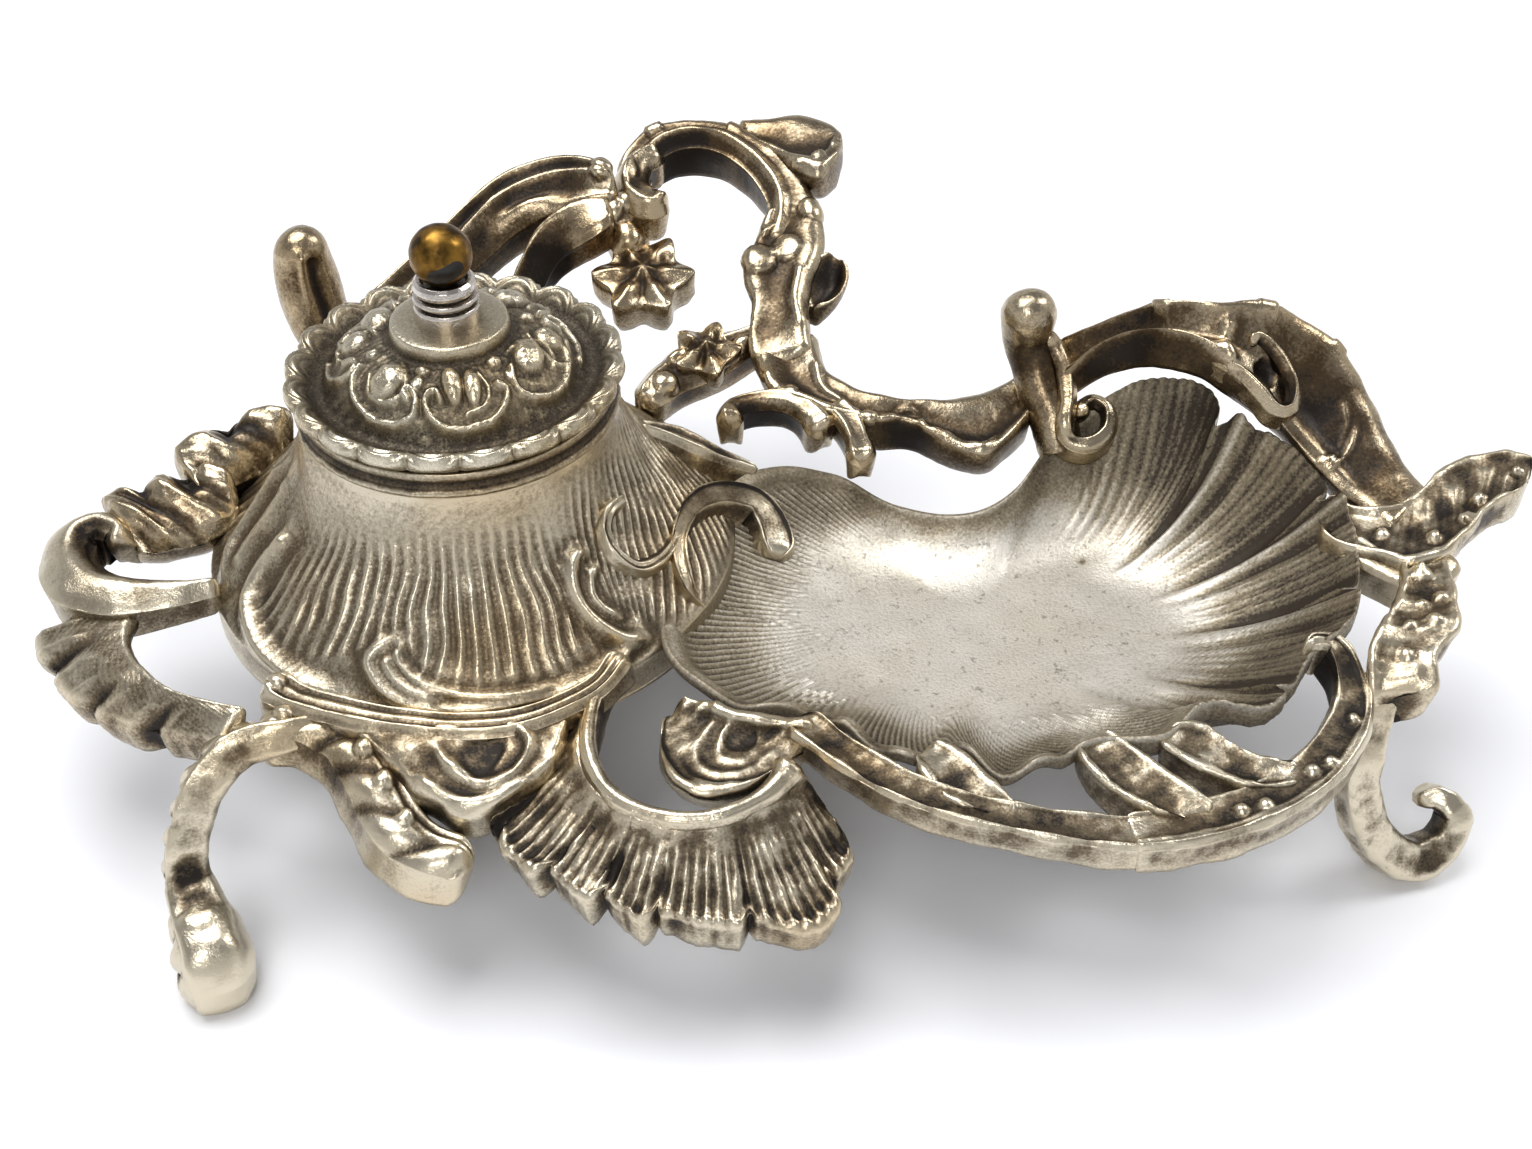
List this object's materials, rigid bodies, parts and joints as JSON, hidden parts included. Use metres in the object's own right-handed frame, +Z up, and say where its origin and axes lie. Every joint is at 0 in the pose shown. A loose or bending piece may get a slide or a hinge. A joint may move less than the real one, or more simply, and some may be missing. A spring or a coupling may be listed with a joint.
{
  "type": "desk inkstand",
  "caption": "Cast metal desk inkstand with a bell-shaped well, a lift-out glass ink pot, a lift-off lid with a ball finial, a shell pen tray and a scrolled pen rest.",
  "frame": {"origin": "on the table, under the centre of the stand's bounding box", "axes": "+X from the well to the pen tray, +Y from the front to the back, +Z up"},
  "size_m": [0.2463, 0.1584, 0.0932],
  "materials": {
    "silvered_casting": "cast brass under worn silver plate, dark in the recesses",
    "silvered_lid": "cast brass under worn silver plate, matt",
    "nickel_collar": "turned nickel silver, polished",
    "ball_brass": "lacquered, lacquer worn off in patches",
    "pot_glass": "clear pressed glass",
    "stud_steel": "plain"
  },
  "bodies": {
    "stand": {"well_housing": "silvered_casting", "mouth_collar": "nickel_collar", "front_moulding": "silvered_casting", "front_panel": "silvered_casting", "bead_scroll": "silvered_casting", "front_left_leg": "silvered_casting", "front_fan_leaf": "silvered_casting", "front_c_scroll": "silvered_casting", "front_rocaille": "silvered_casting", "front_rail": "silvered_casting", "rail_end_scroll": "silvered_casting", "strut_left": "silvered_casting", "strut_mid": "silvered_casting", "strut_right": "silvered_casting", "right_leg": "silvered_casting", "right_leg_leaf": "silvered_casting", "right_bracket": "silvered_casting", "right_leaf": "silvered_casting", "rear_right_scroll": "silvered_casting", "rest_horn": "silvered_casting", "tray_curl": "silvered_casting", "shell_tray": "silvered_casting", "tray_volute": "silvered_casting", "well_scroll": "silvered_casting", "leaf_ridge": "silvered_casting", "rear_bridge": "silvered_casting", "bridge_leaf": "silvered_casting", "bridge_frond": "silvered_casting", "crest_stem": "silvered_casting", "stem_cup": "silvered_casting", "rear_crest": "silvered_casting", "crest_volute": "silvered_casting", "arch_fold": "silvered_casting", "crest_tip": "silvered_casting", "blossom_stem": "silvered_casting", "blossom": "silvered_casting", "rosette_stem": "silvered_casting", "rosette": "silvered_casting", "rear_left_scroll": "silvered_casting", "rear_left_inner": "silvered_casting", "rear_left_horn": "silvered_casting", "left_leaf": "silvered_casting", "left_scroll": "silvered_casting", "left_rear_leaf": "silvered_casting", "left_back_leaf": "silvered_casting", "rear_left_leg": "silvered_casting", "rear_right_leg": "silvered_casting"},
    "ink_pot": {"ink_pot": "pot_glass"},
    "lid": {"lid": "silvered_lid", "lid_ring": "silvered_lid", "finial_collar": "nickel_collar", "finial_ball": "ball_brass", "finial_screw": "stud_steel", "finial_nut": "ball_brass"}
  },
  "joints": [
    {"name": "pot_lift", "type": "slide", "parent": "stand", "child": "ink_pot", "axis": [0, 0, 1], "range_m": [0, 0.05]},
    {"name": "lid_lift", "type": "slide", "parent": "ink_pot", "child": "lid", "axis": [0, 0, 1], "range_m": [0, 0.04]}
  ]
}
